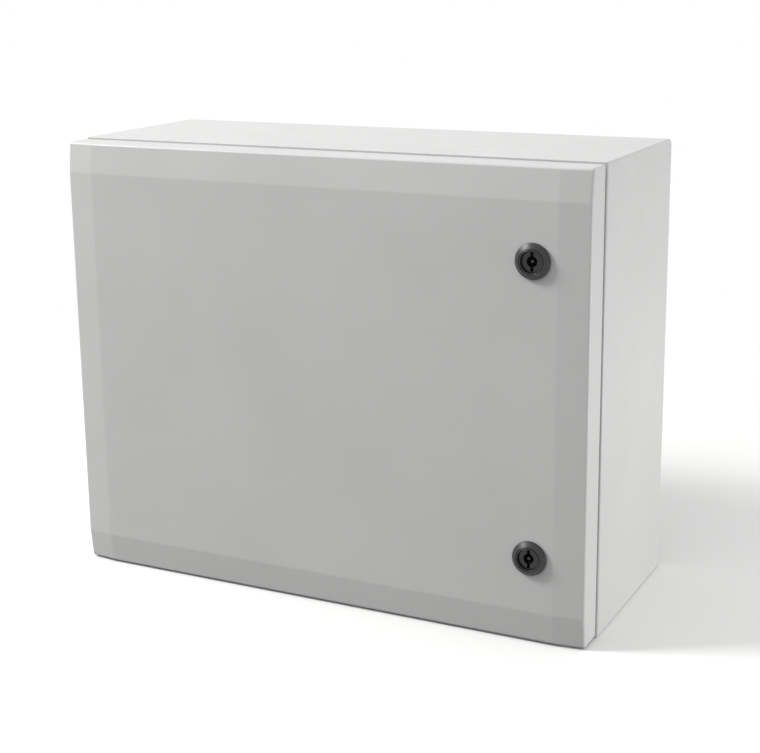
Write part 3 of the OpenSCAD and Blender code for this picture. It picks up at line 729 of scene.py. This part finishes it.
# Turning insert of each lock. A black-lacquered zinc casting with a socket for a double-bit
# key: a round hole with two slots, round a centre pin. Its square tail carries the cam.
# Thin lacquer over a slightly wavy casting gives a deep black with a soft shine.
insert_black, shader, where = new_material("black_lacquered_zinc_casting", 0.30, ior=1.5)
link(insert_black, blend_colours(insert_black, mottle(insert_black, where, 0.002, 0.0, 1.0),
                                 "#141516", "#1D1E1F"), shader, "Base Color")
relief(insert_black, shader, mottle(insert_black, where, 0.0006, 0.0, 1.0), 0.00002)


def drawn(bm, edges, depth, factor=1.0):
    """Extrudes a loop of edges along +Z, opens or closes it by a factor, and returns the new loop."""
    made = bmesh.ops.extrude_edge_only(bm, edges=edges)["geom"]
    bmesh.ops.scale(bm, vec=(factor, factor, 1), verts=verts_in(made))
    bmesh.ops.translate(bm, vec=(0, 0, depth), verts=verts_in(made))
    return edges_in(made)


def circle(bm, radius, height):
    made = bmesh.ops.create_circle(bm, cap_ends=False, segments=64, radius=radius,
                                   matrix=Matrix.Translation((0, 0, height)))["verts"]
    return loop_edges(made)


KEY_R = 0.0045
KEY_DEPTH = 0.0145
SLOT_HALF = 0.0013
SLOT_R = 0.0080
SLOT_DEPTH = 0.0055
PIN_R = 0.0016
PIN_SUNK = 0.0008
PIN_EDGE = 0.0004
INSERT_R = 0.0089
INSERT_EDGE = 0.0003
TAIL_ROOT = 0.001
TAIL_EDGE = 0.0005
INSERT_T = 0.0066
SHAFT_R = 0.007
TAIL_HALF = 0.004
for end in ("upper", "lower"):
    low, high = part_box("lock_rotor_" + end)
    shaft_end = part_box("lock_housing_" + end)[1].y - low.y
    slot_angle = math.degrees(math.asin(SLOT_HALF / KEY_R))
    slot_tip = math.degrees(math.asin(SLOT_HALF / SLOT_R))
    outline = []
    for turn in (0, 180):
        outline += arc((0, 0), KEY_R, turn - 90 + slot_angle, turn + 90 - slot_angle, 14)
        outline += arc((0, 0), SLOT_R, turn + 90 - slot_tip, turn + 90 + slot_tip, 4)
    bm = bmesh.new()
    verts = [bm.verts.new((x, y, 0)) for x, y in outline]
    socket = [bm.edges.new(pair) for pair in zip(verts, verts[1:] + verts[:1])]
    rim = circle(bm, INSERT_R - INSERT_EDGE, 0)
    fill_ring(bm, rim, socket, (0, 0, -1))
    rim = drawn(bm, rim, 2 / 3 * INSERT_EDGE, INSERT_R / (INSERT_R - INSERT_EDGE))
    rim = drawn(bm, rim, INSERT_T - 2 / 3 * INSERT_EDGE)
    rim = drawn(bm, rim, 0, SHAFT_R / INSERT_R)
    rim = drawn(bm, rim, shaft_end - INSERT_T)
    bmesh.ops.contextual_create(bm, geom=rim)
    socket = drawn(bm, socket, SLOT_DEPTH)
    bore = circle(bm, KEY_R - 0.0001, SLOT_DEPTH)
    fill_ring(bm, socket, bore, (0, 0, -1))
    bmesh.ops.contextual_create(bm, geom=drawn(bm, bore, KEY_DEPTH - SLOT_DEPTH))
    pin = [(0, PIN_SUNK), (PIN_R - PIN_EDGE, PIN_SUNK), (PIN_R, PIN_SUNK + PIN_EDGE)]
    bm = joined(bm, turned(pin + [(PIN_R, KEY_DEPTH), (0, KEY_DEPTH)], 24))
    tail = block((-TAIL_HALF, -TAIL_HALF, shaft_end - TAIL_ROOT), (TAIL_HALF, TAIL_HALF, high.y - low.y))
    round_edges(tail, list(tail.edges), TAIL_EDGE, 2)
    bm = copies(joined(bm, tail), [Matrix.Translation(((low.x + high.x) / 2, low.y, (low.z + high.z) / 2))
                                   @ REARWARD])
    make_piece("lock_insert_" + end, bm, insert_black, "lock_" + end,
               ["lock_rotor_" + end])

# Cams. Cranked from 3 mm zinc-plated steel, on the insert's square, each held by a washer and
# an M5 socket screw. Turned sideways, the tip pulls in behind the body frame.
SOCKET_FLATS = 0.003
SCREW_HEAD_R = 0.005
SCREW_HEAD_EDGE = 0.0004
SOCKET_EDGE = 0.0002
SOCKET_FLOOR = 0.001
DRILL_POINT = 0.0004
CAM_WASHER = {"radius": 0.007, "bore": 0.0028}
for end in ("upper", "lower"):
    softened("lock_cranked_cam_" + end, "lock_cam_" + end, zinc_plate, "lock_" + end,
             SHEARED_EDGE)
    low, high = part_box("lock_cam_washer_" + end)
    bm = copies(ring(height=high.y - low.y, **CAM_WASHER), seats("lock_cam_washer_" + end, REARWARD))
    make_piece("lock_cam_washer_ring_" + end, bm, zinc_plate, "lock_" + end,
               ["lock_cam_washer_" + end])
    low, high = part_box("lock_cam_screw_" + end)
    shank = high.y - low.y - HEAD_T
    socket_r = SOCKET_FLATS / 2 / math.cos(math.pi / 6)
    profile = [(0, 0), (SCREW_HEAD_R, 0), (SCREW_HEAD_R, HEAD_T - SCREW_HEAD_EDGE)]
    profile += [(SCREW_HEAD_R - SCREW_HEAD_EDGE, HEAD_T)]
    profile += [(socket_r + SOCKET_EDGE, HEAD_T), (socket_r, HEAD_T - SOCKET_EDGE)]
    profile += [(socket_r, SOCKET_FLOOR), (0, SOCKET_FLOOR - DRILL_POINT)]
    pattern = joined(threaded_rod(shank, **M5),
                     hexed(turned(profile), SOCKET_FLATS, 0.001, socket_r + 0.0001), shank)
    make_piece("lock_cam_socket_screw_" + end, copies(pattern, seats("lock_cam_screw_" + end, REARWARD)),
               zinc_plate, "lock_" + end, ["lock_cam_screw_" + end])

# Camera. It stands to the right of the door and a little above it, as the object was seen.
# A small lens shift keeps the uprights nearly parallel.
AZIMUTH, ELEVATION, ROLL = 26.65, 13.49, -0.67
EYE = (0.6277, -1.3285, 0.3549)
LENS_MM = 73.22
SENSOR_MM = 36.0
LENS_SHIFT = -0.060
camera = bpy.data.objects.new("camera", bpy.data.cameras.new("camera"))
bpy.context.collection.objects.link(camera)
camera.data.lens = LENS_MM
camera.data.sensor_width = SENSOR_MM
camera.data.shift_y = LENS_SHIFT
camera.location = EYE
camera.rotation_euler = (Matrix.Rotation(math.radians(AZIMUTH), 3, "Z")
                         @ Matrix.Rotation(math.radians(90 - ELEVATION), 3, "X")
                         @ Matrix.Rotation(math.radians(ROLL), 3, "Z")).to_euler()
bpy.context.scene.camera = camera

# Floor. Plain matt white, and it thins out into the white surround a metre from the object,
# so that no horizon shows.
floor_paint, shader, where = new_material("matt_white_floor", 0.9, ior=1.45)
shader.inputs["Base Color"].default_value = linear("#F7F7F6")
FADE_FROM = 0.35
FADE_TO = 1.1
FLOOR_HALF = 1.2
away = add(floor_paint, "ShaderNodeVectorMath", {"operation": "LENGTH"}, {0: where}).outputs["Value"]
fade = add(floor_paint, "ShaderNodeMapRange", {"interpolation_type": "SMOOTHSTEP"},
           {"Value": away, "From Min": FADE_FROM, "From Max": FADE_TO, "To Min": 1.0, "To Max": 0.0})
link(floor_paint, fade.outputs["Result"], shader, "Alpha")
bm = bmesh.new()
bmesh.ops.create_grid(bm, x_segments=1, y_segments=1, size=FLOOR_HALF)
bmesh.ops.translate(bm, vec=(0, 0, body_low.z), verts=bm.verts)
mesh = bpy.data.meshes.new("floor")
bm.to_mesh(mesh)
bm.free()
floor = bpy.data.objects.new("floor", mesh)
bpy.context.collection.objects.link(floor)
floor.data.materials.append(floor_paint)
floor.visible_diffuse = False

# Light. A white surround that gives only a weak light of its own, stronger from above, with
# a raking key from the upper left and a low strip that lifts the foot of the right-hand side.
world = bpy.data.worlds.new("studio")
bpy.context.scene.world = world
world.use_nodes = True
sky = world.node_tree
surround = sky.nodes["Background"]
surround.inputs["Color"].default_value = (1, 1, 1, 1)
surround.inputs["Strength"].default_value = 1.0
glow = add(world, "ShaderNodeBackground", {}, {"Color": (1, 1, 1, 1)})
heading = add(world, "ShaderNodeTexCoord", {}, {}).outputs["Generated"]
height = add(world, "ShaderNodeSeparateXYZ", {}, {"Vector": heading}).outputs["Z"]
GLOW_BELOW, GLOW_ABOVE = 0.06, 0.76
strength = add(world, "ShaderNodeMapRange", {},
               {"Value": height, "From Min": -0.6, "From Max": 0.6, "To Min": GLOW_BELOW,
                "To Max": GLOW_ABOVE})
sky.links.new(strength.outputs["Result"], glow.inputs["Strength"])
ray = add(world, "ShaderNodeLightPath", {}, {}).outputs["Is Diffuse Ray"]
both = add(world, "ShaderNodeMixShader", {}, {0: ray, 1: surround.outputs[0], 2: glow.outputs[0]})
sky.links.new(both.outputs[0], sky.nodes["World Output"].inputs["Surface"])
bpy.context.scene.view_settings.view_transform = "Standard"


def softbox(name, place, aim, width, height, watts):
    """A rectangular lamp that points at a spot."""
    lamp = bpy.data.lights.new(name, "AREA")
    lamp.shape = "RECTANGLE"
    lamp.size, lamp.size_y = width, height
    lamp.energy = watts
    holder = bpy.data.objects.new(name, lamp)
    holder.location = place
    holder.rotation_euler = (Vector(aim) - Vector(place)).to_track_quat("-Z", "Y").to_euler()
    bpy.context.collection.objects.link(holder)


softbox("key", (-2.0, -1.25, 1.9), (0, -0.1, 0), 0.7, 0.7, 67)
softbox("floor_bounce", (1.1, 0.0, -0.15), (0.25, -0.1, -0.15), 0.6, 0.08, 4.7)
